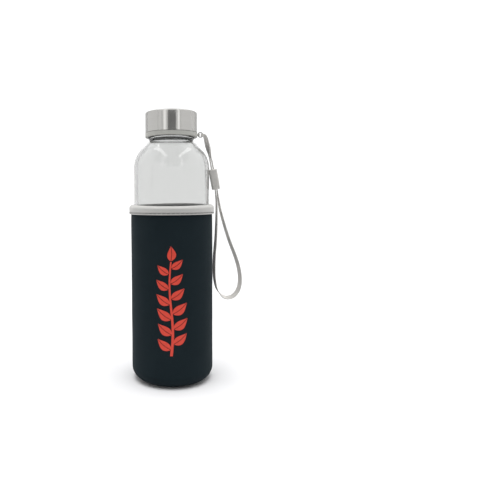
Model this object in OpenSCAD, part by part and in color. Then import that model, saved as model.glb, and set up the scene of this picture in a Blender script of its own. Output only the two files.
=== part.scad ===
// Glass water bottle with a screw cap, a wrist strap and a neoprene sleeve.
// Millimetres, +Z up. The origin is the centre of the sleeve's underside, on the surface it stands on.
// The wrist strap hangs from the cap on the +X side, and the sleeve's side seam is at +Y.

/* [Bottle] */
// Outside diameter of the glass body
glass_d = 62.2; // [58:0.2:62.4]
// Thickness of the glass wall
glass_wall = 2.2; // [1.6:0.1:3]
// Height where the straight glass body ends and the shoulder begins
shoulder_z = 174.5; // [160:0.5:174.5]
// Radius of the curve at the start of the shoulder
shoulder_arc = 22; // [16:1:24]
// Slope of the shoulder's cone above the horizontal, in degrees
shoulder_slope = 46; // [44:1:50]
// Outside diameter of the neck, at the root of its thread
neck_d = 35; // [34.6:0.1:35]
// Diameter of the mouth
mouth_d = 30.4; // [26:0.2:31]
// Height of the rim of the mouth
rim_z = 216.4; // [216.4:0.1:220]
// Rise of the pushed-up base at its centre
punt_rise = 3; // [1:0.5:4]

/* [Screw thread] */
// Rise of the thread in one turn
thread_pitch = 4.2; // [4:0.1:4.6]
// Turns of thread on the neck and in the cap
thread_turns = 1.5; // [1:0.25:1.5]
// Outside diameter of the thread on the neck
thread_d = 37.3; // [36.8:0.1:37.4]

/* [Cap] */
// Outside diameter of the cap
cap_d = 42.8; // [42.6:0.1:43.2]
// Height of the cap's lower edge
cap_z = 199.7; // [199.7:0.1:200.2]
// Height of the plain band of the liner below the steel
band_h = 3.7; // [3:0.1:4.2]
// Thickness of the steel
steel_t = 0.5; // [0.4:0.05:0.6]
// Radius of the steel's top edge
cap_edge = 1.3; // [0.8:0.1:2]

/* [Wrist strap] */
// Width of the woven ribbon
ribbon_w = 4; // [3.6:0.1:4.2]
// Thickness of the woven ribbon
ribbon_t = 0.8; // [0.6:0.05:0.9]
// Radius of the ring's wire circle
ring_r = 1.9; // [1.9:0.1:2.1]
// Thickness of the ring's wire
ring_wire = 0.9; // [0.7:0.05:0.9]
// Length of the slider
slider_l = 17; // [14:0.5:18]
// Width of the slider across the two plies of ribbon
slider_w = 6.7; // [5:0.1:6.7]
// Depth of the slider along the ribbon's width
slider_depth = 7; // [6.4:0.1:7.6]

/* [Sleeve] */
// Outside diameter of the neoprene sleeve
sleeve_d = 67.5; // [67.2:0.1:68.5]
// Thickness of the neoprene
sleeve_t = 2.4; // [2:0.1:2.4]
// Outside radius of the sleeve's lower edge
sleeve_corner = 10.5; // [10:0.1:12]
// Outside diameter of the binding round the sleeve's top
trim_d = 70.3; // [69.9:0.1:70.9]
// Height of the binding's lower edge
trim_z = 136.9; // [130:0.1:139]
// Height of the binding
trim_h = 7.7; // [7:0.1:9]

/* [Stitching] */
// Thickness of the sewing thread
thread_t = 0.56; // [0.4:0.02:0.6]
// Stitches round the binding
trim_stitch_count = 60; // [40:1:70]
// Stitches round the sleeve's base
base_stitch_count = 40; // [30:1:48]
// Stitches in the zigzag of the side seam
side_stitch_count = 36; // [24:2:40]

/* [Hidden] */
$fn = 96;
eps = 0.01;

// Bottle
bottle_z = sleeve_t;                     // the glass stands on the sleeve's base
glass_r = glass_d / 2;
neck_r = neck_d / 2;
mouth_r = mouth_d / 2;
heel_r = 8.3;                            // rounding of the glass at the foot
floor_t = 3.5;                           // glass thickness at the foot
punt_edge = 20;                          // radius at which the pushed-up base starts
punt_r = (punt_edge * punt_edge + punt_rise * punt_rise) / (2 * punt_rise);
shoulder_turn = 90 - shoulder_slope;     // angle that the shoulder's curve turns through
bead_r = 1.2;                            // bead round the neck under the cap
bead_z = cap_z - bead_r - 0.1;
lip_r = 0.8;                             // rounding of the rim
fillet_r = 2;                            // hollow curve between shoulder and neck

// Screw thread: the cap's ridge runs midway between the turns of the neck's ridge
thread_sink = 0.4;                       // depth that each ridge's root is set into its wall
neck_thread_z = 204.6;
liner_thread_z = neck_thread_z - thread_pitch / 2;
liner_root_r = thread_d / 2 + 0.4;
liner_crest_r = neck_r + 0.35;
thread_steps = 36;                       // facets in one turn
thread_runout = 40;                      // degrees over which a ridge rises to full height

// Cap
cap_r = cap_d / 2;
cap_top = rim_z + 3.6;
liner_r = cap_r - steel_t;
liner_top_t = 1.7;
seal_t = cap_top - steel_t - liner_top_t - rim_z;
steel_z = cap_z + band_h + 0.2;          // the steel starts just above the band
lug_hole_r = 0.8;
lug_end_r = 1.4;
lug_t = 1.2;
lug_x = cap_r + lug_hole_r;              // centre of the lug's hole
lug_z = 202;                             // mid-height of the lug

// Wrist strap
ring_x = lug_x + ring_r;                 // centre of the ring
fold_r = 1.15;                           // radius at which the ribbon bends round the ring's wire
fold_steps = 4;
ribbon_steps = 3;                        // sections between two points of the loop
stem_steps = 2;                          // sections between two points of the stem
// The stem: two plies of ribbon from the ring down through the slider.
// Each row is x, y, z, turn of the plies about the stem in degrees, half the spacing of the plies,
// and the ribbon's width.
stem = [
    [25.99, 0.0, 201.83, 90, fold_r, 1.6],
    [27.4, 0.1, 201.42, 90, 0.9, 2.4],
    [28.6, 0.6, 199.0, 86, 0.6, 3.4],
    [30.0, 1.9, 193.8, 66, 0.5, ribbon_w],
    [31.5, 3.3, 188.3, 24, 0.5, ribbon_w],
    [32.55, 4.4, 183.6, 0, 0.55, ribbon_w],
    [33.62, 5.0, 178.9, 0, 0.75, ribbon_w],
    [37.0, 6.4, 160.4, 0, 0.75, ribbon_w],
    [37.82, 6.73, 156.0, 0, 0.75, ribbon_w]
];
// The loop for the hand, from the inner ply round to the outer one: x, y, z and the ribbon's turn
loop = [
    [38.0, 7.2, 146.0, -11],
    [38.0, 7.6, 131.0, -18],
    [37.4, 7.8, 115.0, -25],
    [36.3, 7.8, 101.0, -30],
    [36.0, 7.8, 90.0, -30],
    [36.4, 7.4, 80.5, -26],
    [38.7, 6.4, 71.4, -10],
    [44.8, 5.4, 65.4, 30],
    [51.8, 4.8, 66.6, 50],
    [56.4, 4.6, 72.8, 55],
    [57.7, 4.8, 81.5, 50],
    [56.4, 5.0, 91.5, 45],
    [53.3, 5.3, 101.7, 40],
    [48.5, 5.7, 114.5, 33],
    [44.3, 6.2, 128.0, 26],
    [40.7, 6.7, 142.0, 18]
];
stem_straight = [6, 8];                  // rows of the stem between which it is straight
slider_rest_z = 165.6;                   // height of the slider's centre on the stem
slider_bulge = 300;                      // radius of the slider's swelled faces
slider_round = 1.6;                      // rounding of the slider's long edges
web_t = 0.5;                             // web between the slider's two slots
slot_w = 1;                              // each slot across the ribbon's thickness
slot_depth = ribbon_w + 0.4;

// Sleeve
sleeve_r = sleeve_d / 2;
sleeve_in = sleeve_r - sleeve_t;
base_r = sleeve_r - sleeve_corner;       // the wall turns under and meets the base here
hem_in = sleeve_in + 0.85;               // the wall is squeezed thinner inside the binding
hem_out = sleeve_r - 0.35;
hem_top = trim_z + trim_h - 2;
trim_r = trim_d / 2;
trim_in = sleeve_in + 0.05;
trim_top = trim_z + trim_h;

// Stitching
stitch_r = thread_t / 2;
groove_r = 0.55;                         // the stitches of binding and base lie in round grooves
trim_groove_z = trim_z + 1.2;
stitch_fill = 0.68;                      // share of each pitch that the stitch itself takes
seam_w = 3;                              // width of the side seam's zigzag
seam_z = 14;                             // height of its first stitch
seam_groove = 0.5;                       // depth and width of the butt joint's groove
seam_end = 2;                            // the groove stops this far short of the tube's ends

// A point on the curve through p1 and p2, with p0 and p3 as its neighbours
function spline(p0, p1, p2, p3, t) =
    0.5 * (2 * p1 + t * (p2 - p0) + t * t * (2 * p0 - 5 * p1 + 4 * p2 - p3)
        + t * t * t * (3 * p1 - p0 - 3 * p2 + p3));

// Rows with rows interpolated between them
function refine(rows, steps) =
    let(last = len(rows) - 1)
    [for (i = [0:last - 1], s = [0:steps - 1])
        spline(rows[max(i - 1, 0)], rows[i], rows[i + 1], rows[min(i + 2, last)], s / steps)];

function place(row) = [row.x, row.y, row.z];
function unit(v) = v / norm(v);

// Direction across the stem or loop, square to its run and as near to +Y as that allows
function side(run) = unit([0, 1, 0] - run * run.y);

// One cross-section of ribbon on the stem: its centre, its width as a vector; ply is -1 or 1
function ply_section(rows, i, ply) =
    let(a = rows[max(i - 1, 0)], b = rows[min(i + 1, len(rows) - 1)], row = rows[i])
    let(run = unit(place(b) - place(a)), y_dir = side(run), v_dir = cross(run, y_dir))
    let(apart = v_dir * cos(row[3]) + y_dir * sin(row[3]))
    let(across = y_dir * cos(row[3]) - v_dir * sin(row[3]))
    [place(row) + ply * row[4] * apart, across * row[5]];

// One cross-section of ribbon on the loop
function loop_section(rows, i) =
    let(run = unit(place(rows[i + 1]) - place(rows[i - 1])), y_dir = side(run))
    let(v_dir = cross(run, y_dir))
    [place(rows[i]), (y_dir * cos(rows[i][3]) + v_dir * sin(rows[i][3])) * ribbon_w];

// The whole ribbon as a closed list of cross-sections
function ribbon_sections() =
    let(stem_fine = concat(refine(stem, stem_steps), [stem[len(stem) - 1]]), n = len(stem_fine))
    let(inner = [for (i = [0:n - 1]) ply_section(stem_fine, i, -1)])
    let(outer = [for (i = [0:n - 1]) ply_section(stem_fine, n - 1 - i, 1)])
    let(inner_end = inner[n - 1][0], outer_end = outer[0][0])
    let(joined = concat([[inner_end.x, inner_end.y, inner_end.z, 0]], loop,
        [[outer_end.x, outer_end.y, outer_end.z, 0]]))
    let(loop_fine = refine(joined, ribbon_steps), m = len(loop_fine))
    let(run = unit(place(stem_fine[1]) - place(stem_fine[0])), across = inner[0][1])
    let(fold = [for (k = [1:fold_steps - 1])
        let(t = 90 - 180 * k / fold_steps)
        [place(stem[0]) - run * cos(t) * fold_r + [0, 1, 0] * sin(t) * fold_r, across]])
    concat(fold, inner, [for (i = [1:m - 1]) loop_section(concat(loop_fine, [joined[len(joined) - 1]]), i)],
        outer);

// Corner points of the ribbon's flat cross-section, as shares of its width and thickness
ribbon_profile = [[0.5, -0.2], [0.5, 0.2], [0.42, 0.5], [-0.42, 0.5], [-0.5, 0.2], [-0.5, -0.2],
    [-0.42, -0.5], [0.42, -0.5]];

// Solid between closed rings of points; the last ring joins the first when closed is true
module skin(rings, closed) {
    n = len(rings);
    m = len(rings[0]);
    spans = closed ? n : n - 1;
    sides = [for (i = [0:spans - 1], j = [0:m - 1], half = [0:1])
        let(a = i * m, b = ((i + 1) % n) * m, k = (j + 1) % m)
        half == 0 ? [a + j, a + k, b + j] : [a + k, b + k, b + j]];
    caps = closed ? [] : [[for (j = [m - 1:-1:0]) j], [for (j = [0:m - 1]) (n - 1) * m + j]];
    polyhedron([for (ring = rings, p = ring) p], concat(sides, caps));
}

// Helical ridge whose root is at root_r and crest at crest_r; it fades out at both ends
module thread_ridge(root_r, crest_r, start_z, root_w, crest_w) {
    out = sign(crest_r - root_r);
    turn = thread_turns * 360;
    count = thread_turns * thread_steps;
    rings = [for (i = [0:count])
        let(a = turn * i / count, rise = min(1, 0.15 + min(a, turn - a) / thread_runout))
        let(z = start_z + thread_pitch * a / 360, r0 = root_r - out * thread_sink)
        let(r1 = root_r + (crest_r - root_r) * rise, w0 = root_w / 2, w1 = crest_w / 2)
        let(corners = [[r0, -w0], [r1, -w1], [r1, w1], [r0, w0]])
        [for (c = out > 0 ? corners : [for (k = [3:-1:0]) corners[k]])
            [c[0] * cos(a), c[0] * sin(a), z + c[1]]]];
    skin(rings, false);
}

// Half outline of the bottle, filled in to the axis
module bottle_outline(r, heel, arc, neck, foot_z, top_z) {
    c = [r - arc, shoulder_z];
    tangent = c + arc * [cos(shoulder_turn), sin(shoulder_turn)];
    neck_z = tangent.y + (tangent.x - neck) / tan(shoulder_turn);
    translate([0, foot_z])
        square([r - heel, shoulder_z - foot_z]);
    translate([0, foot_z + heel])
        square([r, shoulder_z - foot_z - heel]);
    intersection() {
        translate([r - heel, foot_z + heel])
            circle(r = heel);
        translate([0, foot_z])
            square([r, heel + eps]);
    }
    intersection() {
        translate(c)
            circle(r = arc);
        translate([0, shoulder_z - eps])
            square([r, arc + 1]);
    }
    polygon([[0, shoulder_z - eps], c - [0, eps], tangent, [neck, neck_z], [neck, top_z], [0, top_z]]);
}

// Hollow curve between the cone of the shoulder and the neck
module neck_fillet() {
    tangent = [glass_r - shoulder_arc, shoulder_z]
        + shoulder_arc * [cos(shoulder_turn), sin(shoulder_turn)];
    neck_z = tangent.y + (tangent.x - neck_r) / tan(shoulder_turn);
    c = [neck_r + fillet_r, neck_z + fillet_r * tan(shoulder_turn / 2)];
    low = c - fillet_r * [cos(shoulder_turn), sin(shoulder_turn)];
    difference() {
        polygon([[neck_r - 1, c.y], c, low, [neck_r - 1, low.y]]);
        translate(c)
            circle(r = fillet_r);
    }
}

module glass_bottle() color([0.85, 0.9, 0.9, 0.45]) {
    rotate_extrude()
        difference() {
            union() {
                bottle_outline(glass_r, heel_r, shoulder_arc, neck_r, bottle_z, rim_z - lip_r);
                neck_fillet();
                translate([0, rim_z - lip_r - eps])
                    square([neck_r - lip_r, lip_r + eps]);
                intersection() {
                    translate([neck_r - lip_r, rim_z - lip_r])
                        circle(r = lip_r, $fn = 32);
                    square([neck_r, rim_z]);
                }
                translate([neck_r, bead_z])
                    circle(r = bead_r, $fn = 32);
            }
            difference() {
                bottle_outline(glass_r - glass_wall, heel_r - glass_wall, shoulder_arc - glass_wall,
                    mouth_r, bottle_z + floor_t, rim_z + 1);
                translate([0, bottle_z + punt_rise - punt_r])
                    circle(r = punt_r + floor_t, $fn = 180);
            }
            translate([0, bottle_z + punt_rise - punt_r])
                circle(r = punt_r, $fn = 180);
            translate([-cap_d, 0])
                square([cap_d, cap_top]);
        }
    thread_ridge(neck_r, thread_d / 2, neck_thread_z, 2.4, 1.2);
}

// Drawn stainless cap over the liner
module cap_shell() color([0.76, 0.76, 0.74]) {
    rotate_extrude()
        difference() {
            union() {
                translate([0, steel_z])
                    square([cap_r, cap_top - steel_z - cap_edge]);
                translate([0, cap_top - cap_edge - eps])
                    square([cap_r - cap_edge, cap_edge + eps]);
                intersection() {
                    translate([cap_r - cap_edge, cap_top - cap_edge])
                        circle(r = cap_edge, $fn = 48);
                    square([cap_r, cap_top]);
                }
            }
            translate([0, steel_z - 1])
                square([liner_r, cap_top - steel_t - steel_z + 1]);
        }
}

// Moulded liner with the cap's thread, the band below the steel and the lug for the strap's ring
module cap_liner() color([0.6, 0.6, 0.58]) {
    rotate_extrude()
        difference() {
            union() {
                translate([0, cap_z])
                    square([cap_r - 0.3, band_h]);
                translate([0, cap_z + 0.3])
                    square([cap_r, band_h - 0.6]);
                translate([0, cap_z])
                    square([liner_r, cap_top - steel_t - cap_z]);
            }
            translate([0, cap_z - 1])
                square([liner_root_r, rim_z + seal_t - cap_z + 1]);
        }
    thread_ridge(liner_root_r, liner_crest_r, liner_thread_z, 2, 0.9);
    difference() {
        translate([0, 0, lug_z - lug_t / 2])
            linear_extrude(lug_t) {
                translate([lug_x, 0])
                    circle(r = lug_end_r, $fn = 48);
                translate([cap_r - 1, -lug_end_r])
                    square([lug_x - cap_r + 1, 2 * lug_end_r]);
            }
        translate([lug_x, 0, lug_z - lug_t])
            cylinder(h = 2 * lug_t, r = lug_hole_r, $fn = 48);
        translate([0, 0, lug_z - lug_t])
            cylinder(h = 2 * lug_t, r = cap_r - 0.4);
    }
}

// Flat silicone ring between the rim and the liner's roof
module cap_seal() color([0.9, 0.9, 0.88]) {
    difference() {
        translate([0, 0, rim_z])
            cylinder(h = seal_t, r = liner_root_r - 0.25);
        translate([0, 0, rim_z - 1])
            cylinder(h = seal_t + 2, r = mouth_r);
    }
}

// Wire ring that hangs in the lug and carries the ribbon
module strap_ring() color([0.7, 0.7, 0.68]) {
    translate([ring_x, 0, lug_z])
        rotate([90, 0, 0])
            rotate_extrude()
                translate([ring_r, 0])
                    circle(d = ring_wire, $fn = 32);
}

// One woven ribbon, joined into a closed loop
module wrist_strap() color([0.67, 0.66, 0.63]) {
    sections = ribbon_sections();
    n = len(sections);
    rings = [for (i = [0:n - 1])
        let(before = sections[(i + n - 1) % n][0], after = sections[(i + 1) % n][0])
        let(s = sections[i], thick = unit(cross(s[1], after - before)) * ribbon_t)
        [for (p = ribbon_profile) s[0] + s[1] * p[0] + thick * p[1]]];
    skin(rings, true);
}

// Square with round corners, centred, made of circles and squares
module round_rect(w, h, r) {
    square([w - 2 * r, h], center = true);
    square([w, h - 2 * r], center = true);
    for (x = [-1, 1], y = [-1, 1])
        translate([x * (w / 2 - r), y * (h / 2 - r)])
            circle(r = r, $fn = 32);
}

// Lens that is w wide at its middle, between two curves of radius bulge
module lens(w, bulge) {
    intersection_for(x = [-1, 1])
        translate([x * (w / 2 - bulge), 0])
            circle(r = bulge, $fn = 180);
}

// Slider that grips the two plies of ribbon
module strap_slider() color([0.64, 0.63, 0.61]) {
    top = place(stem[stem_straight[0]]);
    run = top - place(stem[stem_straight[1]]);
    centre = top + run * (slider_rest_z - top.z) / run.z;
    translate(centre)
        rotate([-asin(run.y / norm(run)), atan2(run.x, run.z), 0])
            difference() {
                intersection() {
                    linear_extrude(slider_l + 1, center = true)
                        round_rect(slider_w + 0.4, slider_depth, slider_round);
                    rotate([90, 0, 0])
                        linear_extrude(slider_depth + 1, center = true)
                            lens(slider_w, slider_bulge);
                    rotate([90, 0, 90])
                        linear_extrude(slider_w + 1, center = true)
                            round_rect(slider_depth + 1, slider_l, slider_round);
                }
                for (x = [-1, 1])
                    translate([x * (web_t + slot_w) / 2, 0, 0])
                        cube([slot_w, slot_depth, slider_l + 1], center = true);
            }
}

// Neoprene tube, turned under at the foot and squeezed into the binding at the top
module sleeve_wall() color([0.13, 0.16, 0.18]) {
    difference() {
        rotate_extrude() {
            translate([sleeve_in, sleeve_corner])
                square([sleeve_t, trim_z - sleeve_corner]);
            translate([hem_in, trim_z])
                square([hem_out - hem_in, hem_top - trim_z]);
            difference() {
                intersection() {
                    translate([base_r, sleeve_corner])
                        circle(r = sleeve_corner);
                    translate([base_r, 0])
                        square([sleeve_corner, sleeve_corner]);
                }
                translate([base_r, sleeve_corner])
                    circle(r = sleeve_corner - sleeve_t);
            }
        }
        rotate_extrude()
            translate([base_r, 0])
                circle(r = groove_r, $fn = 24);
        translate([-seam_groove / 2, sleeve_r - seam_groove, sleeve_corner + seam_end])
            cube([seam_groove, 2, trim_z - sleeve_corner - 2 * seam_end]);
    }
}

// Neoprene disc sewn into the foot of the tube
module sleeve_base() color([0.13, 0.16, 0.18]) {
    rotate_extrude()
        difference() {
            square([base_r, sleeve_t]);
            translate([base_r, 0])
                circle(r = groove_r, $fn = 24);
        }
}

// Binding folded over the sleeve's top edge
module sleeve_trim() color([0.72, 0.72, 0.7]) {
    upper_edge = 2.8;
    lower_edge = 0.6;
    inner_edge = 0.9;
    rotate_extrude()
        difference() {
            union() {
                translate([trim_in, trim_z + lower_edge])
                    square([trim_r - trim_in, trim_h - lower_edge - upper_edge]);
                translate([trim_in, trim_z])
                    square([trim_r - lower_edge - trim_in, lower_edge + eps]);
                translate([trim_r - lower_edge, trim_z + lower_edge])
                    circle(r = lower_edge, $fn = 32);
                translate([trim_in, trim_top - upper_edge - eps])
                    square([trim_r - upper_edge - trim_in, upper_edge - inner_edge + eps]);
                translate([trim_in + inner_edge, trim_top - inner_edge - eps])
                    square([max(trim_r - upper_edge - trim_in - inner_edge, eps), inner_edge + eps]);
                intersection() {
                    translate([trim_r - upper_edge, trim_top - upper_edge])
                        circle(r = upper_edge, $fn = 96);
                    translate([trim_r - upper_edge - eps, trim_top - upper_edge - eps])
                        square(upper_edge + 2 * eps);
                }
                translate([trim_in + inner_edge, trim_top - inner_edge])
                    circle(r = inner_edge, $fn = 32);
            }
            translate([hem_in, trim_z - 1])
                square([hem_out - hem_in, hem_top - trim_z + 1]);
            translate([trim_r, trim_groove_z])
                circle(r = groove_r, $fn = 24);
        }
}

// Ring of stitches: short arcs of thread about the Z axis
module stitch_ring(count, r, z) {
    pitch = 360 / count;
    for (i = [0:count - 1])
        rotate([0, 0, i * pitch])
            rotate_extrude(angle = pitch * stitch_fill)
                translate([r, z])
                    circle(r = stitch_r, $fn = 16);
}

module trim_stitches() color([0.55, 0.55, 0.53]) {
    stitch_ring(trim_stitch_count, trim_r - groove_r + stitch_r, trim_groove_z);
}

module base_stitches() color([0.1, 0.12, 0.13]) {
    stitch_ring(base_stitch_count, base_r, groove_r - stitch_r);
}

// Zigzag of thread over the butt joint at the sleeve's back
module side_stitches() color([0.1, 0.12, 0.13]) {
    step = (trim_z - seam_z - 4) / side_stitch_count;
    lean = atan2(seam_w, step);
    for (i = [0:side_stitch_count - 1])
        translate([0, sleeve_r + stitch_r, seam_z + (i + 0.5) * step])
            rotate([0, (i % 2 == 0 ? 1 : -1) * lean, 0])
                cylinder(h = seam_w - 2 * thread_t, r = stitch_r, center = true, $fn = 16);
}

glass_bottle();
cap_shell();
cap_liner();
cap_seal();
strap_ring();
wrist_strap();
strap_slider();
sleeve_wall();
sleeve_base();
sleeve_trim();
trim_stitches();
side_stitches();
base_stitches();
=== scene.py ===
"""Looks of the glass water bottle: cord, fabric pieces, materials, light and camera.

Metres, in the frame of the CAD model: +Z up, origin under the sleeve, the strap on the +X side and
the sleeve's side seam at +Y. The print and the camera are on the -Y side.
"""
from math import cos, exp, hypot, pi, radians, sin

import bmesh
import bpy
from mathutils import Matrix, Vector, noise


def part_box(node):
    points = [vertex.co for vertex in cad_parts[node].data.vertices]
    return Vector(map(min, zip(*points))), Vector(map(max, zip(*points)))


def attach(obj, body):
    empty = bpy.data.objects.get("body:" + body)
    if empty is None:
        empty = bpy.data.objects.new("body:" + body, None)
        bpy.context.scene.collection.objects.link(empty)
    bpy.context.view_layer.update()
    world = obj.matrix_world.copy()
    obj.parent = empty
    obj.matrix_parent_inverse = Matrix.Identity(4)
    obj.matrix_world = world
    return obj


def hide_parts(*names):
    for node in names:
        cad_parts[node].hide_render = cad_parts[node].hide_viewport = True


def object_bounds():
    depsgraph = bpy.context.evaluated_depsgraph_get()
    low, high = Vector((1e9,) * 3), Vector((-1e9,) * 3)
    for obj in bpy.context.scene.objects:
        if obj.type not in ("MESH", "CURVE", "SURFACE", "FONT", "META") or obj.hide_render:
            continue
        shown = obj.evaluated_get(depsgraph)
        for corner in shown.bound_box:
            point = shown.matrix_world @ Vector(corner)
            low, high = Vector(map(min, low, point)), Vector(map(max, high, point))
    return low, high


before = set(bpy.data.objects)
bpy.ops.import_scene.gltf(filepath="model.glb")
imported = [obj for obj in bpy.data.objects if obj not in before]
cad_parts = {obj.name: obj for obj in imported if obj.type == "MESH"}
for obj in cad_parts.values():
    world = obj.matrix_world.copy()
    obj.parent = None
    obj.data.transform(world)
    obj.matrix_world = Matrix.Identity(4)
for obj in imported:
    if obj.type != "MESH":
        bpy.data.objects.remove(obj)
cad_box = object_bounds()

MM = 0.001
BACK = Vector((0, 1, 0))

# The strap's ribbon and its route, as in part.scad: a fold round the ring, a stem of two plies down
# through the slider, and a loop
RIBBON_W = 0.004
RIBBON_T = 0.0008
FOLD_R = 0.00115
# Each stem row: x, y, z, turn of the plies in degrees, half the plies' spacing, ribbon's width
STEM = [
    (0.02599, 0.00000, 0.20183, 90, FOLD_R, 0.00160),
    (0.02740, 0.00010, 0.20142, 90, 0.00090, 0.00240),
    (0.02860, 0.00060, 0.19900, 86, 0.00060, 0.00340),
    (0.03000, 0.00190, 0.19380, 66, 0.00050, RIBBON_W),
    (0.03150, 0.00330, 0.18830, 24, 0.00050, RIBBON_W),
    (0.03255, 0.00440, 0.18360, 0, 0.00055, RIBBON_W),
    (0.03362, 0.00500, 0.17890, 0, 0.00075, RIBBON_W),
    (0.03700, 0.00640, 0.16040, 0, 0.00075, RIBBON_W),
    (0.03782, 0.00673, 0.15600, 0, 0.00075, RIBBON_W),
]
# Each loop row: x, y, z, turn of the ribbon in degrees
LOOP = [
    (0.03800, 0.00720, 0.14600, -11),
    (0.03800, 0.00760, 0.13100, -18),
    (0.03740, 0.00780, 0.11500, -25),
    (0.03630, 0.00780, 0.10100, -30),
    (0.03600, 0.00780, 0.09000, -30),
    (0.03640, 0.00740, 0.08050, -26),
    (0.03870, 0.00640, 0.07140, -10),
    (0.04480, 0.00540, 0.06540, 30),
    (0.05180, 0.00480, 0.06660, 50),
    (0.05640, 0.00460, 0.07280, 55),
    (0.05770, 0.00480, 0.08150, 50),
    (0.05640, 0.00500, 0.09150, 45),
    (0.05330, 0.00530, 0.10170, 40),
    (0.04850, 0.00570, 0.11450, 33),
    (0.04430, 0.00620, 0.12800, 26),
    (0.04070, 0.00670, 0.14200, 18),
]
STEM_STEPS = 8
LOOP_STEPS = 12
FOLD_STEPS = 12
# Half of the ribbon's cross-section, a flat web with thicker edges, in shares of its two sizes
RIBBON_FACE = [
    (0.50, 0.0), (0.49, 0.28), (0.46, 0.46), (0.42, 0.50), (0.37, 0.44), (0.24, 0.40),
    (0.0, 0.38), (-0.24, 0.40), (-0.37, 0.44), (-0.42, 0.50), (-0.46, 0.46), (-0.49, 0.28),
]

# Sizes of the sleeve, from its boxes and as in part.scad
SLEEVE_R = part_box("sleeve_wall")[1].x
SLEEVE_T = 2.4 * MM
SLEEVE_INSIDE = SLEEVE_R - SLEEVE_T
SLEEVE_CORNER = 10.5 * MM
BASE_R = SLEEVE_R - SLEEVE_CORNER
TRIM_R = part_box("sleeve_trim")[1].x
TRIM_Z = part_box("sleeve_trim")[0].z
TRIM_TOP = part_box("sleeve_trim")[1].z
TRIM_GROOVE_Z = TRIM_Z + 1.2 * MM
STITCH_GROOVE = 0.55 * MM
TRIM_STITCHES = 60
STITCH_FILL = 0.68      # length of a stitch of the binding, as a share of the stitches' spacing
# The sleeve's top edge, thinned to fit the slot in the binding
HEM_IN = SLEEVE_INSIDE + 0.85 * MM
HEM_OUT = SLEEVE_R - 0.35 * MM
HEM_TOP = TRIM_TOP - 2 * MM
HEM_BEVEL = 0.3 * MM

# How far the sleeve's outside stands out or in at each unevenness, and where that fades
SWELL = 0.13 * MM
DRAG = 0.05 * MM
PUCKER = 0.07 * MM
PUCKER_FADE = 2.5 * MM
SQUEEZE = 0.30 * MM
SQUEEZE_FADE = 1.6 * MM
SEAM_DEPTH = 0.45 * MM
SEAM_WIDTH = 0.28 * MM
SEAM_FOOT = 12 * MM

# The same for the binding
STITCH_DRAW = 0.12 * MM
STITCH_REACH = 1.1 * MM
TRIM_SWELL = 0.07 * MM
TRIM_LIFT = 0.9 * MM

# The print, a sprig of leaves; a lean is the angle between a leaf and the vertical
PRINT_LOW = 27.5 * MM
STEM_TOP = 101 * MM
PRINT_RISE = 0.10 * MM
PRINT_SINK = 0.06 * MM
PRINT_SHIFT = 0.8 * MM
STEM_SWAY = 1.2 * MM
STEM_POINTS = 60
TOP_LEAF = (11.2 * MM, 7.2 * MM)
TOP_LEAF_GAP = 0.8 * MM
SIDE_LEAF = (14.2 * MM, 8.2 * MM)
SIDE_LEAF_FOOT = 1.2 * MM
SIDE_LEAN = radians(52)
LEAF_PAIRS = 6
LEAF_STEPS = 14
LEAF_RIB = 0.22 * MM

# Spacing of the columns of the sleeve's jersey knit
KNIT_PITCH = 0.55 * MM

# The studio's square floor: its width, and how far out its near tone of painted shade ends and its
# far tone begins
FLOOR_SIZE = 5
FLOOR_NEAR = 0.25
FLOOR_FAR = 2.5
# Cards that only give the steel its upright lines. Each row: name, azimuth in degrees, width, grey
LINE_CARDS = [
    ("line_a", -59, 0.08, 0.62),
    ("line_b", -40, 0.06, 0.50),
    ("line_c", 41, 0.05, 0.50),
    ("line_d", 103, 0.22, 0.78),
]
CARD_AWAY = 1.2
CARD_Z = 0.40
WORLD_STRENGTH = 1.12
LIGHTS_AIM = Vector((0, 0, 0.14))


# ---------------------------------------------------------------- camera

def make_camera():
    """Camera 400 mm in front, 3 degrees down; its shift puts the bottle left of the middle."""
    data = bpy.data.cameras.new("camera")
    data.sensor_width = 36
    data.lens = 34.56
    data.shift_x = 0.1568
    data.shift_y = -0.0536
    data.clip_start = 0.01
    camera = bpy.data.objects.new("camera", data)
    camera.location = (0, -0.400, 0.150)
    camera.rotation_euler = (radians(87), radians(0.31), 0)
    bpy.context.scene.collection.objects.link(camera)
    bpy.context.scene.camera = camera


# ---------------------------------------------------------------- meshes

def make_object(name, mesh, material, body):
    """Object for a finished mesh, riding on a body."""
    piece = bpy.data.objects.new(name, mesh)
    bpy.context.scene.collection.objects.link(piece)
    piece.data.materials.append(material)
    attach(piece, body)
    return piece


def mesh_from(bm, name, crease=50):
    """Smooth-shaded mesh from a bmesh, sharp only where faces meet at more than crease degrees."""
    mesh = bpy.data.meshes.new(name)
    bm.to_mesh(mesh)
    bm.free()
    mesh.shade_smooth()
    mesh.set_sharp_from_angle(angle=radians(crease))
    return mesh


def quad(bm, uv, corners, spots):
    """Face through corners, with its UVs; corners that are the same vertex count once."""
    kept = [(c, s) for i, (c, s) in enumerate(zip(corners, spots)) if c not in corners[:i]]
    face = bm.faces.new([c for c, _ in kept])
    for loop, (_, spot) in zip(face.loops, kept):
        loop[uv].uv = spot


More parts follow.
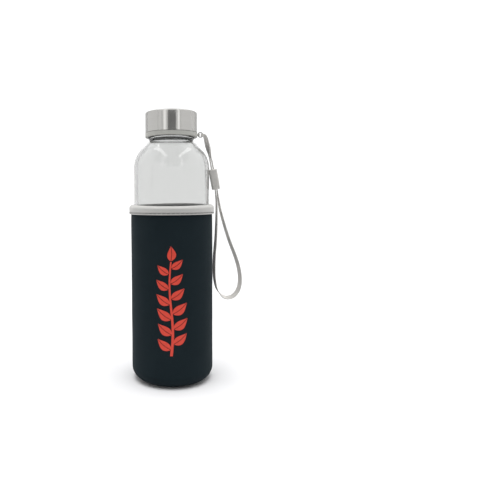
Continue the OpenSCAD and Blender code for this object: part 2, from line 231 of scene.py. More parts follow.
def lathe(name, profile, angles, shape=None, closed=True):
    """Mesh turned about Z from (radius, height) points, whose solid side is on the left.

    shape(angle, radius, height) may move a point to another radius and height. A point on the axis
    is one vertex. UVs run in metres: round the piece, and along the profile.
    """
    bm = bmesh.new()
    uv = bm.loops.layers.uv.new("UVMap")
    rings = []
    for r, z in profile:
        if r == 0:
            rings.append([bm.verts.new((0, 0, z))] * len(angles))
            continue
        ring = []
        for a in angles:
            radius, height = shape(a, r, z) if shape else (r, z)
            ring.append(bm.verts.new((radius * cos(a), radius * sin(a), height)))
        rings.append(ring)
    along = [0.0]
    for (r0, z0), (r1, z1) in zip(profile, profile[1:] + profile[:1]):
        along.append(along[-1] + hypot(r1 - r0, z1 - z0))
    reach = max(r for r, _ in profile)
    around = [a * reach for a in angles] + [(angles[0] + 2 * pi) * reach]
    for i in range(len(profile) if closed else len(profile) - 1):
        low, high = rings[i], rings[(i + 1) % len(profile)]
        for j in range(len(angles)):
            k = (j + 1) % len(angles)
            quad(bm, uv, [low[j], low[k], high[k], high[j]],
                 [(around[j], along[i]), (around[j + 1], along[i]),
                  (around[j + 1], along[i + 1]), (around[j], along[i + 1])])
    return mesh_from(bm, name)


def arc(centre, radius, start, end, steps):
    """Points on an arc in the (radius, height) plane, from start to end in degrees."""
    turns = [radians(start + (end - start) * i / steps) for i in range(steps + 1)]
    return [(centre[0] + radius * cos(t), centre[1] + radius * sin(t)) for t in turns]


def line(start, end, step):
    """Points from start up to, but not at, end, no further than step apart."""
    count = max(1, round(hypot(end[0] - start[0], end[1] - start[1]) / step))
    return [(start[0] + (end[0] - start[0]) * i / count, start[1] + (end[1] - start[1]) * i / count)
            for i in range(count)]


def even_angles(count):
    """Angles all the way round, in radians."""
    return [2 * pi * i / count for i in range(count)]


# ---------------------------------------------------------------- wrist strap

def spline(p0, p1, p2, p3, t):
    """Row at share t of the way from p1 to p2, on a Catmull-Rom curve with neighbours p0 and p3."""
    return [0.5 * (2 * b + t * (c - a) + t * t * (2 * a - 5 * b + 4 * c - d)
                   + t * t * t * (3 * b - a - 3 * c + d)) for a, b, c, d in zip(p0, p1, p2, p3)]


def refine(rows, steps):
    """Rows with rows interpolated between them, up to but not at the last one."""
    last = len(rows) - 1
    return [spline(rows[max(i - 1, 0)], rows[i], rows[i + 1], rows[min(i + 2, last)], s / steps)
            for i in range(last) for s in range(steps)]


def place(row):
    """Point of a row of the route."""
    return Vector(row[:3])


def side(run):
    """Direction across the stem or loop, square to its run and as near to +Y as that allows."""
    return (BACK - run * run.y).normalized()


def ply_section(rows, i, ply):
    """Centre and width vector of the ribbon on the stem; ply is -1 or 1."""
    run = (place(rows[min(i + 1, len(rows) - 1)]) - place(rows[max(i - 1, 0)])).normalized()
    y_dir = side(run)
    v_dir = run.cross(y_dir)
    turn = radians(rows[i][3])
    apart = v_dir * cos(turn) + y_dir * sin(turn)
    across = y_dir * cos(turn) - v_dir * sin(turn)
    return place(rows[i]) + apart * ply * rows[i][4], across * rows[i][5]


def loop_section(rows, i):
    """Centre and width vector of the ribbon on the loop."""
    run = (place(rows[i + 1]) - place(rows[i - 1])).normalized()
    y_dir = side(run)
    turn = radians(rows[i][3])
    return place(rows[i]), (y_dir * cos(turn) + run.cross(y_dir) * sin(turn)) * RIBBON_W


def ribbon_sections():
    """The whole ribbon as a closed list of (centre, width vector)."""
    stem = refine(STEM, STEM_STEPS) + [STEM[-1]]
    inner = [ply_section(stem, i, -1) for i in range(len(stem))]
    outer = [ply_section(stem, i, 1) for i in reversed(range(len(stem)))]
    joined = [(*inner[-1][0], 0), *LOOP, (*outer[0][0], 0)]
    loop = refine(joined, LOOP_STEPS) + [joined[-1]]
    run = (place(stem[1]) - place(stem[0])).normalized()
    fold = []
    for k in range(1, FOLD_STEPS):
        t = radians(90 - 180 * k / FOLD_STEPS)
        fold.append((place(STEM[0]) - run * cos(t) * FOLD_R + BACK * sin(t) * FOLD_R, inner[0][1]))
    return fold + inner + [loop_section(loop, i) for i in range(1, len(loop) - 1)] + outer


def make_ribbon(material):
    """The woven ribbon, one closed loop, as a mesh along its sections."""
    sections = ribbon_sections()
    count = len(sections)
    ring_shape = RIBBON_FACE + [(-x, -y) for x, y in RIBBON_FACE]
    bm = bmesh.new()
    uv = bm.loops.layers.uv.new("UVMap")
    rings = []
    along = [0.0]
    for i, (centre, across) in enumerate(sections):
        before, after = sections[i - 1][0], sections[(i + 1) % count][0]
        thick = across.cross(after - before).normalized() * RIBBON_T
        rings.append([bm.verts.new(centre + across * x + thick * y) for x, y in ring_shape])
        along.append(along[-1] + (after - centre).length)
    for i in range(count):
        low, high = rings[i], rings[(i + 1) % count]
        for j, (x, _) in enumerate(ring_shape):
            k = (j + 1) % len(ring_shape)
            u0, u1 = x * RIBBON_W, ring_shape[k][0] * RIBBON_W
            quad(bm, uv, [low[j], high[j], high[k], low[k]],
                 [(u0, along[i]), (u0, along[i + 1]), (u1, along[i + 1]), (u1, along[i])])
    bmesh.ops.recalc_face_normals(bm, faces=bm.faces)
    mesh = mesh_from(bm, "strap_ribbon", crease=80)
    piece = make_object("strap_ribbon", mesh, material, "strap")
    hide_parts("wrist_strap")


# ---------------------------------------------------------------- sleeve

def ease(x):
    """0 below 0, 1 above 1, smooth between."""
    x = min(max(x, 0), 1)
    return x * x * (3 - 2 * x)


def round_noise(angle, z, cells, rise, start):
    """Smooth noise of -1 to 1 round the sleeve, with cells over its radius and one in each rise."""
    return noise.noise(Vector((cos(angle) * cells, sin(angle) * cells, start + z / rise)))


def back_arc(angle):
    """Distance round the sleeve from its side seam at +Y, the same on both sides of the seam."""
    return abs((angle - pi / 2 + pi) % (2 * pi) - pi) * SLEEVE_R


def sleeve_bulge(angle, z):
    """How far the outside of the sleeve stands out from its plain cylinder.

    It swells unevenly and drags in faint upright streaks, but not at the foot and the side seam.
    Under the binding it is squeezed, and puckers at each stitch. The side seam is a groove.
    """
    plain = ease((z - 4 * MM) / (10 * MM)) * ease(back_arc(angle) / (9 * MM) - 0.3)
    swell = SWELL * round_noise(angle, z, cells=1.6, rise=0.022, start=0) * plain
    drag = DRAG * round_noise(angle, z, cells=7, rise=0.09, start=3) * plain
    below = max(TRIM_Z - z, 0)
    pucker = PUCKER * cos(TRIM_STITCHES * angle) * exp(-below / PUCKER_FADE)
    squeeze = -SQUEEZE * exp(-below / SQUEEZE_FADE)
    seam = ease(1.6 - back_arc(angle) / SEAM_WIDTH) * ease((z - SEAM_FOOT) / (1.5 * MM))
    return swell + pucker + squeeze + drag - SEAM_DEPTH * seam


def sleeve_angles():
    """Angles round the sleeve, closer together at the seam at +Y."""
    seam = pi / 2
    near = [x * MM / SLEEVE_R for x in (0.0, 0.16, 0.3, 0.45, 0.8, 1.4, 2.2)]
    wide = [a for a in even_angles(240) if back_arc(a) > 2.6 * MM]
    return sorted(wide + [seam + x for x in near] + [seam - x for x in near[1:]])


def make_sleeve_cover(material):
    """The neoprene tube: turned under at the foot, squeezed into the binding at the top."""
    corner = (BASE_R, SLEEVE_CORNER)
    fine_from = (SLEEVE_R, TRIM_Z - 8 * MM)
    groove = arc((BASE_R, 0), STITCH_GROOVE, 90, 0, 6)
    profile = groove[:-1] + [(BASE_R + STITCH_GROOVE, 0.0)]
    profile += arc(corner, SLEEVE_CORNER, -84, 0, 18)
    profile += line((SLEEVE_R, SLEEVE_CORNER + 1.5 * MM), fine_from, 2 * MM)
    profile += line(fine_from, (SLEEVE_R, TRIM_Z - 0.1 * MM), 0.5 * MM)
    profile += [(HEM_OUT, TRIM_Z), (HEM_OUT, HEM_TOP - HEM_BEVEL), (HEM_OUT - HEM_BEVEL, HEM_TOP),
                (HEM_IN + HEM_BEVEL, HEM_TOP), (HEM_IN, HEM_TOP - HEM_BEVEL), (HEM_IN, TRIM_Z)]
    profile += line((SLEEVE_INSIDE, TRIM_Z - 0.5 * MM), (SLEEVE_INSIDE, SLEEVE_CORNER), 8 * MM)
    profile += arc(corner, SLEEVE_CORNER - SLEEVE_T, 0, -90, 10)
    outside = SLEEVE_R - 0.01 * MM

    def shape(angle, r, z):
        on_wall = r > outside and z < TRIM_Z
        return (r + sleeve_bulge(angle, z), z) if on_wall else (r, z)

    mesh = lathe("sleeve_cover", profile, sleeve_angles(), shape)
    piece = make_object("sleeve_cover", mesh, material, "sleeve")
    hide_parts("sleeve_wall")
    return piece


def make_sleeve_foot(material):
    """The neoprene disc sewn into the foot of the tube, a little dished underneath."""
    dish = 0.25 * MM
    dish_r = 20 * MM
    bevel = 0.2 * MM
    dished = [r * MM for r in range(0, 22, 3)]
    profile = [(r, dish * (1 - ease(r / dish_r))) for r in dished]
    profile += [(BASE_R - STITCH_GROOVE - 0.3 * MM, 0.0)]
    profile += arc((BASE_R, 0), STITCH_GROOVE, 180, 90, 6)
    profile += [(BASE_R, SLEEVE_T - bevel), (BASE_R - bevel, SLEEVE_T), (BASE_R * 0.5, SLEEVE_T),
                (0.0, SLEEVE_T)]
    mesh = lathe("sleeve_foot", profile, even_angles(160), closed=False)
    piece = make_object("sleeve_foot", mesh, material, "sleeve")
    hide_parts("sleeve_base")
    return piece


def binding_shape(angle, r, z):
    """Moves a point of the binding: in at each stitch's end, down at the front, up at the back."""
    height = (z - TRIM_Z) / (TRIM_TOP - TRIM_Z)
    outer = ease((r - SLEEVE_R) / (TRIM_R - SLEEVE_R))
    stitch = (angle * TRIM_STITCHES / (2 * pi)) % 1
    half_gap = (1 - STITCH_FILL) / 2
    hole = max(0, 1 - abs(stitch - 1 + half_gap) / half_gap)
    near = exp(-((z - TRIM_GROOVE_Z) / STITCH_REACH) ** 2)
    draw = -STITCH_DRAW * hole * near * outer
    swell = TRIM_SWELL * round_noise(angle, 0, cells=4, rise=1, start=9) * outer
    front = max(0, -sin(angle)) ** 2
    back = max(0, sin(angle + 0.25)) ** 2
    lift = TRIM_LIFT * (back - front) * ease((height - 0.35) / 0.65)
    return r + draw + swell, z + lift


def make_binding(material):
    """The tape folded over the sleeve's top edge, as a closed ring with a slot for the edge."""
    inner = SLEEVE_INSIDE + 0.05 * MM
    low_round = 0.5 * MM
    outer_round = 2.9 * MM
    inner_round = 0.8 * MM
    bevel = 0.2 * MM
    above_groove = (TRIM_R - 0.08 * MM, TRIM_GROOVE_Z + 0.7 * MM)
    profile = arc((TRIM_R - low_round, TRIM_Z + low_round), low_round, -90, 60, 10)
    profile += arc((TRIM_R, TRIM_GROOVE_Z), STITCH_GROOVE, -110, -250, 8)
    profile += line(above_groove, (TRIM_R, TRIM_TOP - outer_round), 0.5 * MM)
    profile += arc((TRIM_R - outer_round, TRIM_TOP - outer_round), outer_round, 0, 90, 18)
    profile += arc((inner + inner_round, TRIM_TOP - inner_round), inner_round, 90, 180, 8)
    profile += [(inner, TRIM_Z + 4 * MM), (inner, TRIM_Z + bevel), (inner + bevel, TRIM_Z)]
    profile += [(HEM_IN, TRIM_Z), (HEM_IN, HEM_TOP), (HEM_OUT, HEM_TOP), (HEM_OUT, TRIM_Z)]
    mesh = lathe("sleeve_binding", profile, even_angles(TRIM_STITCHES * 10), binding_shape)
    piece = make_object("sleeve_binding", mesh, material, "sleeve")
    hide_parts("sleeve_trim")
    return piece


# ---------------------------------------------------------------- print on the sleeve

def sprig_stem(t):
    """Point of the sprig's stem, as distance round the sleeve and height; t runs from 0 to 1."""
    around = STEM_SWAY * sin(2 * pi * t) - PRINT_SHIFT
    return around, PRINT_LOW + (STEM_TOP - PRINT_LOW) * t


def patch(bm, rows):
    """Thin closed shell over the sleeve's outside, from rows of (distance round, height) points."""
    layers = []
    for rise in (PRINT_RISE, -PRINT_SINK):
        layers.append([])
        for row in rows:
            made = []
            for x, z in row:
                angle = -pi / 2 + x / SLEEVE_R
                r = SLEEVE_R + sleeve_bulge(angle, z) + rise
                made.append(bm.verts.new((r * cos(angle), r * sin(angle), z)))
            layers[-1].append(made)
    top, bottom = layers
    last, wide = len(rows) - 1, len(rows[0]) - 1
    for i in range(last):
        for j in range(wide):
            bm.faces.new([top[i][j], top[i][j + 1], top[i + 1][j + 1], top[i + 1][j]])
            bm.faces.new([bottom[i][j], bottom[i + 1][j], bottom[i + 1][j + 1], bottom[i][j + 1]])
        for j in (0, wide):
            bm.faces.new([top[i][j], top[i + 1][j], bottom[i + 1][j], bottom[i][j]])
    for i in (0, last):
        for j in range(wide):
            bm.faces.new([top[i][j], bottom[i][j], bottom[i][j + 1], top[i][j + 1]])


def leaf_rows(foot, lean, length, width, half):
    """Rows of one half of a leaf; half is -1 or 1, and the midrib between the halves stays bare."""
    rows = []
    spans = 3
    for i in range(LEAF_STEPS + 1):
        t = i / LEAF_STEPS
        along = length * t
        edge = width / 2 * sin(pi * (0.03 + 0.955 * t) ** 0.8) * (1.05 - 0.25 * t)
        edge = max(edge, LEAF_RIB * 1.6)
        bend = 0.06 * length * sin(pi * t) * (1 if lean >= 0 else -1)
        row = []
        for k in range(spans + 1):
            out = half * (LEAF_RIB + (edge - LEAF_RIB) * k / spans) + bend
            row.append((foot[0] + along * sin(lean) + out * cos(lean),
                        foot[1] + along * cos(lean) - out * sin(lean)))
        rows.append(row)
    return rows


def make_print(material):
    """A leafy sprig, screen-printed up the front of the sleeve."""
    bm = bmesh.new()
    stem = []
    for i in range(STEM_POINTS + 1):
        x, z = sprig_stem(i / STEM_POINTS)
        wide = (1.1 - 0.5 * i / STEM_POINTS) * MM
        stem.append([(x - wide, z), (x, z), (x + wide, z)])
    patch(bm, stem)
    for n in range(LEAF_PAIRS):
        t = 0.10 + 0.80 * n / (LEAF_PAIRS - 1)
        size = 1 - 0.28 * abs(t - 0.42) - 0.12 * t
        length, width = SIDE_LEAF[0] * size, SIDE_LEAF[1] * size
        for way in (-1, 1):
            x, z = sprig_stem(t + 0.03 * way)
            foot = (x + way * SIDE_LEAF_FOOT, z)
            for half in (-1, 1):
                patch(bm, leaf_rows(foot, way * SIDE_LEAN, length, width, half))
    x, z = sprig_stem(1)
    for half in (-1, 1):
        patch(bm, leaf_rows((x, z + TOP_LEAF_GAP), 0, *TOP_LEAF, half))
    bmesh.ops.recalc_face_normals(bm, faces=bm.faces)
    return make_object("leaf_print", mesh_from(bm, "leaf_print", crease=40), material, "sleeve")


# ---------------------------------------------------------------- node helpers

# Sockets of a Mix node that mixes colours
MIX_FIRST = 6
MIX_SECOND = 7
MIX_RESULT = 2


def add_node(tree, kind, inputs=None, **settings):
    """New shader node; inputs are sockets to link or values to set."""
    made = tree.nodes.new("ShaderNode" + kind)
    for name, value in settings.items():
        setattr(made, name, value)
    for socket, value in (inputs or {}).items():
        if isinstance(value, bpy.types.NodeSocket):
            tree.links.new(value, made.inputs[socket])
        else:
            made.inputs[socket].default_value = value
    return made


def calc(tree, operation, a, b=0.0, c=0.0):
    """Output of a Math node."""
    return add_node(tree, "Math", {0: a, 1: b, 2: c}, operation=operation).outputs[0]


def fit(tree, value, low, high):
    """A value of 0 to 1 as one from low to high."""
    return add_node(tree, "MapRange", {"Value": value, "To Min": low, "To Max": high}).outputs[0]


def blend(tree, share, first, second):
    """Colour between two colours."""
    mixed = add_node(tree, "Mix", {"Factor": share}, data_type="RGBA")
    for socket, colour in ((MIX_FIRST, first), (MIX_SECOND, second)):
        if isinstance(colour, bpy.types.NodeSocket):
            tree.links.new(colour, mixed.inputs[socket])
        else:
            mixed.inputs[socket].default_value = (*colour, 1)
    return mixed.outputs[MIX_RESULT]


def speckle(tree, scale, detail=2, vector=None, stretch=None):
    """Noise from 0 to 1, scale in cells per metre, on object coordinates unless vector is given."""
    vector = vector or add_node(tree, "TexCoord").outputs["Object"]
    if stretch:
        vector = add_node(tree, "Mapping", {"Vector": vector, "Scale": stretch}).outputs[0]
    inputs = {"Vector": vector, "Scale": scale, "Detail": detail}
    return add_node(tree, "TexNoise", inputs).outputs[0]


def uv_parts(tree):
    """The two UVs in metres."""
    parts = add_node(tree, "SeparateXYZ", {0: add_node(tree, "TexCoord").outputs["UV"]})
    return parts.outputs[0], parts.outputs[1]


def polar_parts(tree):
    """Angle round Z, distance from it and height, from object coordinates."""
    parts = add_node(tree, "SeparateXYZ", {0: add_node(tree, "TexCoord").outputs["Object"]})
    x, y, z = parts.outputs
    angle = calc(tree, "ARCTAN2", y, x)
    squares = calc(tree, "MULTIPLY_ADD", x, x, calc(tree, "MULTIPLY", y, y))
    return angle, calc(tree, "SQRT", squares), z


def wave(tree, value, pitch):
    """Sine of value with that pitch in metres, from 0 to 1."""
    turn = calc(tree, "MULTIPLY", value, 2 * pi / pitch)
    return calc(tree, "MULTIPLY_ADD", calc(tree, "SINE", turn), 0.5, 0.5)


def bump(tree, height, depth, strength):
    """Normal of a bump whose height of 0 to 1 is depth metres."""
    inputs = {"Strength": strength, "Distance": depth, "Height": height}
    return add_node(tree, "Bump", inputs).outputs[0]


def new_material(name, **values):
    """Material with one Principled shader, and the shader's plain values."""
    material = bpy.data.materials.new(name)
    material.use_nodes = True
    tree = material.node_tree
    shader = next(n for n in tree.nodes if n.type == "BSDF_PRINCIPLED")
    for socket, value in values.items():
        shader.inputs[socket.replace("_", " ")].default_value = value
    return material, tree, shader


def drive(tree, shader, **sockets):
    """Links outputs to the shader's sockets."""
    for socket, output in sockets.items():
        tree.links.new(output, shader.inputs[socket.replace("_", " ")])


# ---------------------------------------------------------------- materials
# Colours are linear RGB. A material's noise is in the object's own coordinates, so it stays put.

def glass_material():
    """Clear soda-lime glass with a faint waviness and a few finger-worn marks."""
    material, tree, shader = new_material("clear_glass", Transmission_Weight=1, IOR=1.5,
                                          Base_Color=(0.77, 0.775, 0.77, 1))
    waves = speckle(tree, scale=60, detail=1)
    marks = speckle(tree, scale=900, detail=3)
    drive(tree, shader, Roughness=fit(tree, marks, 0.0, 0.03),
          Normal=bump(tree, waves, depth=0.05 * MM, strength=0.25))
    return material


def steel_material():
    """Stainless steel with brush lines round the axis, on the side and on the top."""
    material, tree, shader = new_material("brushed_steel", Metallic=1, Anisotropic=0.65)
    angle, distance, z = polar_parts(tree)
    lines_per_metre = 5200
    grain = add_node(tree, "CombineXYZ", {0: calc(tree, "MULTIPLY", angle, 1.3),
                                          1: calc(tree, "MULTIPLY", distance, lines_per_metre),
                                          2: calc(tree, "MULTIPLY", z, lines_per_metre)}).outputs[0]
    lines = speckle(tree, scale=1.0, detail=3, vector=grain)
    soil = speckle(tree, scale=140, detail=3)
    colour = blend(tree, lines, (0.41, 0.405, 0.39), (0.49, 0.485, 0.47))
    colour = blend(tree, fit(tree, soil, 0.0, 0.25), colour, (0.38, 0.37, 0.355))
    rough = calc(tree, "ADD", fit(tree, lines, 0.08, 0.13), fit(tree, soil, -0.03, 0.04))
    tangent = add_node(tree, "Tangent", direction_type="RADIAL", axis="Z").outputs[0]
    drive(tree, shader, Base_Color=colour, Roughness=rough, Tangent=tangent,
          Normal=bump(tree, lines, depth=0.006 * MM, strength=0.15))
    return material


def ring_material():
    """Polished steel wire with fine scuffs."""
    material, tree, shader = new_material("ring_steel", Metallic=1)
    scuffs = speckle(tree, scale=2600, detail=4)
    colour = blend(tree, scuffs, (0.20, 0.195, 0.19), (0.34, 0.335, 0.325))
    drive(tree, shader, Base_Color=colour, Roughness=fit(tree, scuffs, 0.22, 0.40),
          Normal=bump(tree, scuffs, depth=0.02 * MM, strength=0.4))
    return material


def liner_material():
    """Grey moulded plastic with a fine spark texture and faint flow marks."""
    material, tree, shader = new_material("liner_plastic", Specular_IOR_Level=0.45)
    grain = speckle(tree, scale=3800, detail=2)
    flow = speckle(tree, scale=120, detail=3, stretch=(1, 1, 4))
    colour = blend(tree, flow, (0.345, 0.345, 0.322), (0.44, 0.44, 0.409))
    drive(tree, shader, Base_Color=colour, Roughness=fit(tree, grain, 0.38, 0.55),
          Normal=bump(tree, grain, depth=0.03 * MM, strength=0.35))
    return material


def seal_material():
    """Translucent white silicone with a fine matt skin."""
    material, tree, shader = new_material("silicone", Subsurface_Weight=0.3, Subsurface_Scale=1.0,
                                          Subsurface_Radius=(0.002, 0.002, 0.002))
    skin = speckle(tree, scale=2200, detail=2)
    drive(tree, shader, Base_Color=blend(tree, skin, (0.70, 0.70, 0.68), (0.80, 0.80, 0.78)),
          Roughness=fit(tree, skin, 0.45, 0.62),
          Normal=bump(tree, skin, depth=0.03 * MM, strength=0.3))
    return material


def ribbon_material():
    """Grey woven ribbon: cross ribs, yarns over and under, closed edges, a little fuzz and painted
    shade in the weave's hollows.
    """
    material, tree, shader = new_material("ribbon_weave", Specular_IOR_Level=0.3, Sheen_Weight=0.25,
                                          Sheen_Roughness=0.4)
    across, along = uv_parts(tree)
    ribs = wave(tree, along, pitch=0.62 * MM)
    yarns = wave(tree, across, pitch=0.40 * MM)
    over = calc(tree, "MULTIPLY", ribs, fit(tree, yarns, 0.55, 1))
    fuzz = speckle(tree, scale=5200, detail=3)
    height = calc(tree, "MULTIPLY_ADD", fuzz, 0.25, over)
    # Painted shade: where the yarns dip under, the ribbon takes the darker colour; the raised yarns
    # take the light tone
    shading = calc(tree, "MULTIPLY", fit(tree, over, 0.45, 1), fit(tree, fuzz, 0.75, 1))
    tone = speckle(tree, scale=70, detail=2)
    light = blend(tree, tone, (0.71, 0.692, 0.657), (0.80, 0.783, 0.748))
    colour = blend(tree, shading, (0.36, 0.35, 0.332), light)
    drive(tree, shader, Base_Color=colour, Roughness=fit(tree, fuzz, 0.62, 0.85),
          Normal=bump(tree, height, depth=0.10 * MM, strength=0.8))
    return material


def slider_material():
    """Grey soft-touch plastic of the slider."""
    material, tree, shader = new_material("slider_plastic", Specular_IOR_Level=0.4)
    grain = speckle(tree, scale=4200, detail=2)
    wear = speckle(tree, scale=240, detail=4)
    colour = blend(tree, wear, (0.49, 0.482, 0.459), (0.58, 0.569, 0.543))
    drive(tree, shader, Base_Color=colour, Roughness=fit(tree, grain, 0.42, 0.60),
          Normal=bump(tree, grain, depth=0.03 * MM, strength=0.4))
    return material


def knit_height(tree, across, along, pitch):
    """Height of a fine jersey knit: columns of leaning stitches, from 0 to 1."""
    course = calc(tree, "PINGPONG", calc(tree, "DIVIDE", along, pitch * 1.3), 0.5)
    lean = calc(tree, "MULTIPLY", course, 1.4)
    column = calc(tree, "ADD", calc(tree, "DIVIDE", across, pitch), lean)
    wales = calc(tree, "ABSOLUTE", calc(tree, "SINE", calc(tree, "MULTIPLY", column, pi)))
    row = calc(tree, "MULTIPLY", along, pi / (pitch * 0.65))
    rows = calc(tree, "ABSOLUTE", calc(tree, "SINE", row))
    return calc(tree, "MULTIPLY", wales, fit(tree, rows, 0.6, 1))


def neoprene_material():
    """Black-blue neoprene under a fine jersey skin, with lint, slight wear and painted shade in the
    knit's hollows.
    """
    material, tree, shader = new_material("neoprene_jersey", Specular_IOR_Level=0.06,
                                          Sheen_Weight=0.02, Sheen_Roughness=0.35,
                                          Sheen_Tint=(0.75, 0.85, 0.9, 1))
    across, along = uv_parts(tree)
    knit = knit_height(tree, across, along, KNIT_PITCH)
    cloud = speckle(tree, scale=55, detail=3)
    fuzz = speckle(tree, scale=4600, detail=3)
    # Painted shade: the knit's hollows take the dark tones and its raised stitches the light ones,
    # flecked by the fuzz; the cloud is the neoprene's own uneven tone
    dark = blend(tree, cloud, (0.0048, 0.0089, 0.0113), (0.0071, 0.0125, 0.0155))
    light = blend(tree, cloud, (0.0102, 0.0173, 0.0214), (0.0137, 0.0222, 0.0270))
    colour = blend(tree, calc(tree, "MULTIPLY", knit, fit(tree, fuzz, 0.6, 1)), dark, light)
    height = calc(tree, "MULTIPLY_ADD", fuzz, 0.3, knit)
    drive(tree, shader, Base_Color=colour, Roughness=fit(tree, fuzz, 0.66, 0.84),
          Normal=bump(tree, height, depth=0.06 * MM, strength=0.7))
    return material


def binding_material():
    """Light grey knitted tape with upright ribs and painted shade in the hollows between them."""
    material, tree, shader = new_material("binding_tape", Specular_IOR_Level=0.3, Sheen_Weight=0.2,
                                          Sheen_Roughness=0.4)
    across, along = uv_parts(tree)
    ribs = wave(tree, across, pitch=0.74 * MM)
    rows = wave(tree, along, pitch=0.42 * MM)
    weave = calc(tree, "MULTIPLY", fit(tree, ribs, 0.35, 1), fit(tree, rows, 0.6, 1))
    fuzz = speckle(tree, scale=4800, detail=3)
    tone = speckle(tree, scale=90, detail=2)
    light = blend(tree, tone, (0.53, 0.526, 0.507), (0.60, 0.596, 0.575))
    # Painted shade: the hollows between the ribs and rows take the darker colour, the raised knit
    # the light tone
    shading = calc(tree, "MULTIPLY", weave, fit(tree, fuzz, 0.75, 1))
    colour = blend(tree, shading, (0.35, 0.346, 0.334), light)
    height = calc(tree, "MULTIPLY_ADD", fuzz, 0.25, weave)
    drive(tree, shader, Base_Color=colour, Roughness=fit(tree, fuzz, 0.60, 0.82),
          Normal=bump(tree, height, depth=0.08 * MM, strength=0.7))
    return material


def thread_material(name, dark, light, slant):
    """Twisted sewing thread; slant is 1 for a seam round the Z axis, and less for one upwards."""
    material, tree, shader = new_material(name, Specular_IOR_Level=0.4, Sheen_Weight=0.15)
    angle, distance, z = polar_parts(tree)
    twist = calc(tree, "MULTIPLY_ADD", angle, TRIM_R * slant, z)
    strands = wave(tree, calc(tree, "ADD", twist, distance), pitch=0.30 * MM)
    fuzz = speckle(tree, scale=6000, detail=2)
    # Painted shade: the grooves between the twisted strands take the dark colour, the strands the
    # light one
    colour = blend(tree, calc(tree, "MULTIPLY", strands, fit(tree, fuzz, 0.7, 1)), dark, light)
    drive(tree, shader, Base_Color=colour, Roughness=fit(tree, fuzz, 0.45, 0.7),
          Normal=bump(tree, strands, depth=0.06 * MM, strength=0.8))
    return material


def print_material():
    """Vermilion screen print: a rubbery ink that keeps a trace of the knit under it."""
    material, tree, shader = new_material("print_ink", Specular_IOR_Level=0.4)
    angle, _, z = polar_parts(tree)
    knit = knit_height(tree, calc(tree, "MULTIPLY", angle, SLEEVE_R), z, KNIT_PITCH)
    worn = speckle(tree, scale=420, detail=4)
    colour = blend(tree, worn, (0.51, 0.034, 0.019), (0.66, 0.058, 0.031))
    drive(tree, shader, Base_Color=colour, Roughness=fit(tree, worn, 0.45, 0.65),
          Normal=bump(tree, knit, depth=0.04 * MM, strength=0.5))
    return material


def floor_material():
    """Pale paper floor with painted shade: a deeper tone near the bottle, where the main light
    falls strongest, so that the soft shadow of the foot shows.

    Its object coordinates are shares of FLOOR_SIZE, because the floor is a plane of size 1, scaled.
    """
    material, tree, shader = new_material("studio_floor", Specular_IOR_Level=0.1)
    paper = speckle(tree, scale=300, detail=3)
    _, distance, _ = polar_parts(tree)
    # Painted shade: the near tone is darker than the far one, to hold down the main light's pool
    # round the bottle
    away = add_node(tree, "MapRange", {"Value": distance, "From Min": FLOOR_NEAR / FLOOR_SIZE,
                                       "From Max": FLOOR_FAR / FLOOR_SIZE}).outputs[0]
    near = blend(tree, paper, (0.615, 0.615, 0.624), (0.635, 0.635, 0.644))
    far = blend(tree, paper, (0.94, 0.94, 0.945), (0.97, 0.97, 0.975))
    drive(tree, shader, Base_Color=blend(tree, away, near, far),
          Roughness=fit(tree, paper, 0.75, 0.85))
    return material


def dress(node, material):
    """Gives a CAD node's object another material."""
    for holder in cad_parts[node].material_slots:
        holder.material = material


# ---------------------------------------------------------------- studio

def stage_plane(name, centre, width, height, facing, material):
    """Flat panel of the studio, which isn't part of the object."""
    bpy.ops.mesh.primitive_plane_add(size=1, location=centre)
    panel = bpy.context.object
    panel.name = name
    panel.scale = (width, height, 1)
    panel.rotation_mode = "QUATERNION"
    panel.rotation_quaternion = Vector(facing).to_track_quat("Z", "Y")
    panel.data.materials.append(material)
    return panel


def panel_material(name, grey):
    """Grey on the front of a panel, and clear from behind."""
    material, tree, shader = new_material(name, Base_Color=(grey, grey, grey, 1), Roughness=1,
                                          Specular_IOR_Level=0)
    behind = add_node(tree, "NewGeometry").outputs["Backfacing"]
    clear = add_node(tree, "BsdfTransparent").outputs[0]
    mixed = add_node(tree, "MixShader", {0: behind, 1: shader.outputs[0], 2: clear}).outputs[0]
    output = next(n for n in tree.nodes if n.type == "OUTPUT_MATERIAL")
    tree.links.new(mixed, output.inputs["Surface"])
    return material


def card(name, centre, width, height, facing, grey, through_glass=False):
    """Grey card that shows only in reflections, and through the glass if it says so."""
    panel = stage_plane(name, centre, width, height, facing, panel_material(name, grey))
    panel.visible_transmission = through_glass
    panel.visible_camera = False
    panel.visible_diffuse = False
    panel.visible_shadow = False


def shade(name, centre, width, height, facing, grey):
    """Grey panel that only dims the soft light from that side, and shows in no reflection."""
    panel = stage_plane(name, centre, width, height, facing, panel_material(name, grey))
    panel.visible_camera = False
    panel.visible_glossy = False
    panel.visible_transmission = False


def lamp(name, centre, width, height, power):
    """Rectangular light, which shines straight down until it is turned."""
    data = bpy.data.lights.new(name, "AREA")
    data.shape = "RECTANGLE"
    data.size = width
    data.size_y = height
    data.energy = power
    made = bpy.data.objects.new(name, data)
    made.location = centre
    made.visible_camera = False
    bpy.context.scene.collection.objects.link(made)
    return made


def box_light(name, azimuth, elevation, distance, width, height, power):
    """Soft light aimed at the bottle; its azimuth is to the right of the front, in degrees."""
    a, e = radians(azimuth), radians(elevation)
    away = Vector((sin(a) * cos(e), -cos(a) * cos(e), sin(e)))
    made = lamp(name, LIGHTS_AIM + away * distance, width, height, power)
    made.rotation_mode = "QUATERNION"
    made.rotation_quaternion = away.to_track_quat("Z", "Y")
    return made


def strip_light(name, centre, turn, width, length, power):
    """Narrow light overhead, which runs from front to back and is turned by turn degrees."""
    made = lamp(name, centre, width, length, power)
    made.rotation_euler = (0, 0, radians(turn))


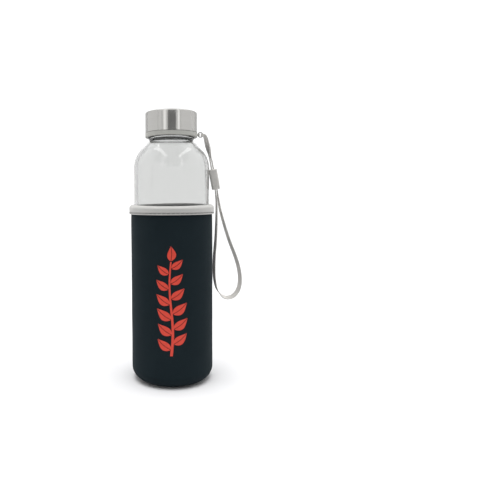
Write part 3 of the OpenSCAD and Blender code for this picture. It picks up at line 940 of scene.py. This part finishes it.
def make_world():
    """Even white surroundings."""
    world = bpy.data.worlds.new("studio")
    world.use_nodes = True
    background = world.node_tree.nodes["Background"]
    background.inputs["Color"].default_value = (1, 1, 1, 1)
    background.inputs["Strength"].default_value = WORLD_STRENGTH
    bpy.context.scene.world = world


def make_panels():
    """The floor, the cards that show in the steel and the glass, and the shades."""
    stage_plane("floor", (0, 0, cad_box[0].z - 0.1 * MM), FLOOR_SIZE, FLOOR_SIZE,
                facing=(0, 0, 1), material=floor_material())
    card("cap_card", (0.075, -CARD_AWAY, CARD_Z), width=0.79, height=0.12, facing=(0, 1, 0),
         grey=0.19)
    for name, azimuth, width, grey in LINE_CARDS:
        x, y = sin(radians(azimuth)), -cos(radians(azimuth))
        card(name, (CARD_AWAY * x, CARD_AWAY * y, CARD_Z), width, height=0.16, facing=(-x, -y, 0),
             grey=grey)
    for name, side_x in (("left_card", -1), ("right_card", 1)):
        card(name, (0.97 * side_x, 1.30, 0.7), width=1.06, height=1.39,
             facing=(-0.5 * side_x, -0.87, 0), grey=0.67, through_glass=True)
    shade("front_shade", (0, -1.6, 1.3), width=5, height=2.2, facing=(0, 1, 0), grey=0.2)
    shade("floor_shade", (0, -1.75, 0.5 * MM), width=4, height=3, facing=(0, 0, 1), grey=0.25)


def make_lights():
    """Two small boxes in front, two strips that streak the glass's shoulder, and the main light."""
    box_light("left_box", azimuth=-28, elevation=28, distance=1.0, width=0.17, height=0.7,
              power=0.24)
    box_light("right_box", azimuth=33, elevation=28, distance=1.0, width=0.12, height=0.7,
              power=0.20)
    strip_light("left_strip", (-0.50, -0.38, 1.39), turn=9, width=0.25, length=1.55, power=2.0)
    strip_light("right_strip", (0.72, -0.30, 1.39), turn=-5, width=0.25, length=1.6, power=2.0)
    main = box_light("top_box", azimuth=0, elevation=85, distance=1.4, width=1.2, height=1.2,
                     power=27)
    main.visible_glossy = False
    main.visible_transmission = False


# ---------------------------------------------------------------- the whole
# The camera and the cord come first.

make_camera()
make_ribbon(ribbon_material())

neoprene = neoprene_material()
cover = make_sleeve_cover(neoprene)
foot = make_sleeve_foot(neoprene)
binding = make_binding(binding_material())
motif = make_print(print_material())

# Each pair is one thread's tone in the grooves between its strands, painted shade, and its tone on
# the strands
light_grey = ((0.13, 0.13, 0.125), (0.27, 0.265, 0.255))
black_blue = ((0.006, 0.008, 0.009), (0.02, 0.026, 0.03))
light_thread = thread_material("light_thread_twist", *light_grey, slant=1)
dark_thread = thread_material("dark_thread_twist", *black_blue, slant=1)
seam_thread = thread_material("seam_thread_twist", *black_blue, slant=0.8)
dress("glass_bottle", glass_material())
dress("cap_shell", steel_material())
dress("cap_liner", liner_material())
dress("cap_seal", seal_material())
dress("strap_ring", ring_material())
dress("strap_slider", slider_material())
dress("trim_stitches", light_thread)
dress("base_stitches", dark_thread)
dress("side_stitches", seam_thread)

bpy.context.scene.view_settings.view_transform = "Standard"
make_world()
make_panels()
make_lights()
